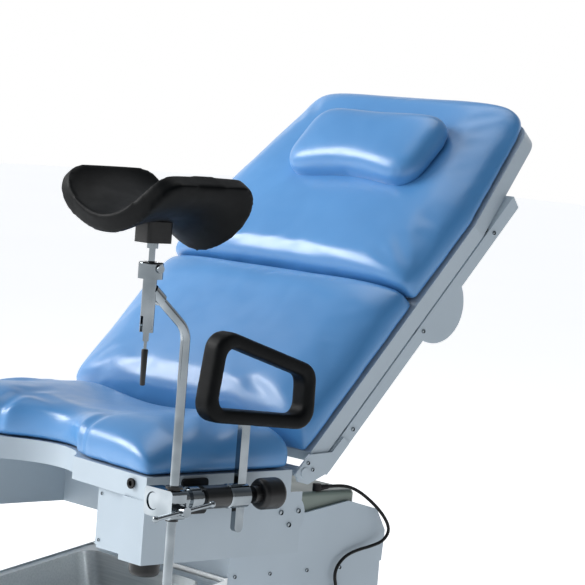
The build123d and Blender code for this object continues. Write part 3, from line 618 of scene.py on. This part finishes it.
def makeScrew():
    bpy.ops.object.select_all(action="DESELECT")
    bpy.ops.mesh.primitive_cylinder_add(vertices=24, radius=screwPlan["radius"], depth=screwPlan["height"],
                                        location=(0, 0, screwPlan["height"] / 2))
    screw = bpy.context.object
    bpy.ops.object.transform_apply(location=True)
    bpy.ops.object.mode_set(mode="EDIT")
    bpy.ops.mesh.select_all(action="DESELECT")
    bpy.ops.object.mode_set(mode="OBJECT")
    for face in screw.data.polygons:
        face.select = face.normal.z > 0.9
    bpy.ops.object.mode_set(mode="EDIT")
    bpy.ops.mesh.bevel(offset=screwPlan["radius"] * screwPlan["rim"], segments=3, affect="EDGES")
    bpy.ops.object.mode_set(mode="OBJECT")
    for face in screw.data.polygons:
        face.select = face.normal.z > 0.9 and face.area > screwPlan["radius"] ** 2
    bpy.ops.object.mode_set(mode="EDIT")
    bpy.ops.mesh.inset(thickness=screwPlan["radius"] * screwPlan["socket"] * screwPlan["wall"])
    sink = (0, 0, -screwPlan["height"] * screwPlan["deep"])
    bpy.ops.mesh.extrude_region_move(TRANSFORM_OT_translate={"value": sink})
    bpy.ops.object.mode_set(mode="OBJECT")
    return screw


pattern = makeScrew()


def placeScrew(name, body, place, direction, scale=1.0):
    screw = bpy.data.objects.new(name, pattern.data.copy())
    scene.collection.objects.link(screw)
    screw.data.transform(turnTo(direction, place) @ Matrix.Scale(scale, 4))
    finishPiece(screw, body, finishes["chrome"], 30)


# rows of screws on both outer sides: distance from the middle, and places along and up
screwRows = {
    "bearingScrew": {"body": "seat", "toPoint": seatPoint, "across": 300, "scale": 1.3,
                     "places": ((271, -66), (307, -65), (289, -86))},
    "beamScrew": {"body": "back", "toPoint": backPoint, "across": 300.5, "scale": 1.1,
                  "places": ((115, -31), (324, -31), (543, -31))},
    "hingeScrew": {"body": "back", "toPoint": backPoint, "across": 304.5, "scale": 1.0,
                   "places": ((15, 6), (14, -9))},
    "columnScrew": {"body": "lift", "toPoint": seatPoint, "across": 172, "scale": 1.0,
                    "places": ((300, -194), (375, -194), (456, -194), (530, -194))},
}
panelPlan = {"back": 17, "scale": 0.8, "places": ((176, -45), (176, -116), (238, -116))}

for side, sign in sides.items():
    for name, row in screwRows.items():
        for i, place in enumerate(row["places"]):
            placeScrew(f"{name}{side}{i}", row["body"], row["toPoint"](sign * row["across"], *place),
                       (sign, 0, 0), row["scale"])
    for i, (x, z) in enumerate(panelPlan["places"]):
        placeScrew(f"panelScrew{side}{i}", "seat", seatPoint(sign * x, panelPlan["back"], z), (0, -1, 0),
                   panelPlan["scale"])
bpy.data.objects.remove(pattern)

leverPlan = {"top": 0.0048, "bottom": 0.0036, "length": 0.052, "drop": 0.001, "soft": 0.0015}


def makeLeverGrip(side):
    low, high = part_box(f"clamp_lever_{side}")
    middle = Vector(((low[0] + high[0]) / 2, (low[1] + high[1]) / 2,
                     low[2] + leverPlan["length"] / 2 - leverPlan["drop"]))
    bpy.ops.object.select_all(action="DESELECT")
    bpy.ops.mesh.primitive_cone_add(vertices=28, radius1=leverPlan["bottom"], radius2=leverPlan["top"],
                                    depth=leverPlan["length"], location=middle)
    grip = bpy.context.object
    grip.name = f"leverGrip{side.capitalize()}"
    placeInMesh(grip)
    bevel = grip.modifiers.new("soft", "BEVEL")
    bevel.width = leverPlan["soft"]
    bevel.segments = 3
    applyAll(grip)
    finishPiece(grip, f"clamp_lever_{side}", finishes["black_plastic"], 40)


for side in sides:
    makeLeverGrip(side)
print("hardware made")

# power in watts, place and size in metres
lightPlan = {"key": (205, (-3.4, -2.6, 3.0), 2.2), "top": (30, (-0.4, 0.6, 3.8), 2.2)}
studioPlan = {"floorSize": 60, "floorDrop": 0.0005, "floorGlow": 0.66, "aimHeight": 0.7, "paleUpTo": 0.26,
              "skyFrom": 0.5, "sky": (0.30, 0.33, 0.37, 1), "shadeTo": 0.22}


def makeStudio():
    bpy.ops.object.select_all(action="DESELECT")
    bpy.ops.mesh.primitive_plane_add(size=studioPlan["floorSize"], location=(0, 0, -studioPlan["floorDrop"]))
    floor = bpy.context.object
    floor.name = "studioFloor"
    material, tree, shader, place = startMaterial("paleFloor", Roughness=0.9, Emission_Color=(1, 1, 1, 1),
                                                  Emission_Strength=studioPlan["floorGlow"])
    tone = twoTone(tree, spread(tree, place, 0.6, 0, 1), "F4F5F6", "F8F9FA")
    tree.links.new(tone, shader.inputs["Base Color"])
    floor.data.materials.append(material)
    for name, (power, place, size) in lightPlan.items():
        lamp = bpy.data.objects.new(name, bpy.data.lights.new(name, "AREA"))
        scene.collection.objects.link(lamp)
        lamp.data.energy = power
        lamp.data.size = size
        lamp.matrix_world = turnTo(Vector(place) - Vector((0, 0, studioPlan["aimHeight"])), place)
    world = bpy.data.worlds.new("studio")
    scene.world = world
    world.use_nodes = True
    sky = world.node_tree
    height = addNode(sky, "ShaderNodeSeparateXYZ", {0: addNode(sky, "ShaderNodeTexCoord").outputs["Generated"]})
    ramp = addNode(sky, "ShaderNodeValToRGB", {0: height.outputs["Z"]})
    ramp.color_ramp.elements[0].position = studioPlan["paleUpTo"]
    ramp.color_ramp.elements[0].color = (1, 1, 1, 1)
    ramp.color_ramp.elements[1].position = studioPlan["skyFrom"]
    ramp.color_ramp.elements[1].color = studioPlan["sky"]
    # the room is darker on the near side, so that the object's right sides fall into shade
    across = addNode(sky, "ShaderNodeMapRange", {"Value": height.outputs["X"], "From Min": -0.1,
                                                 "From Max": 0.7, "To Min": 1.0,
                                                 "To Max": studioPlan["shadeTo"]})
    shade = addNode(sky, "ShaderNodeMix", {0: across.outputs[0], 6: (0, 0, 0, 1), 7: ramp.outputs[0]},
                    data_type="RGBA")
    sky.links.new(shade.outputs[2], sky.nodes["Background"].inputs["Color"])
    sky.nodes["Background"].inputs["Strength"].default_value = 1.0


makeStudio()
scene.view_settings.view_transform = "Standard"
print("studio set")
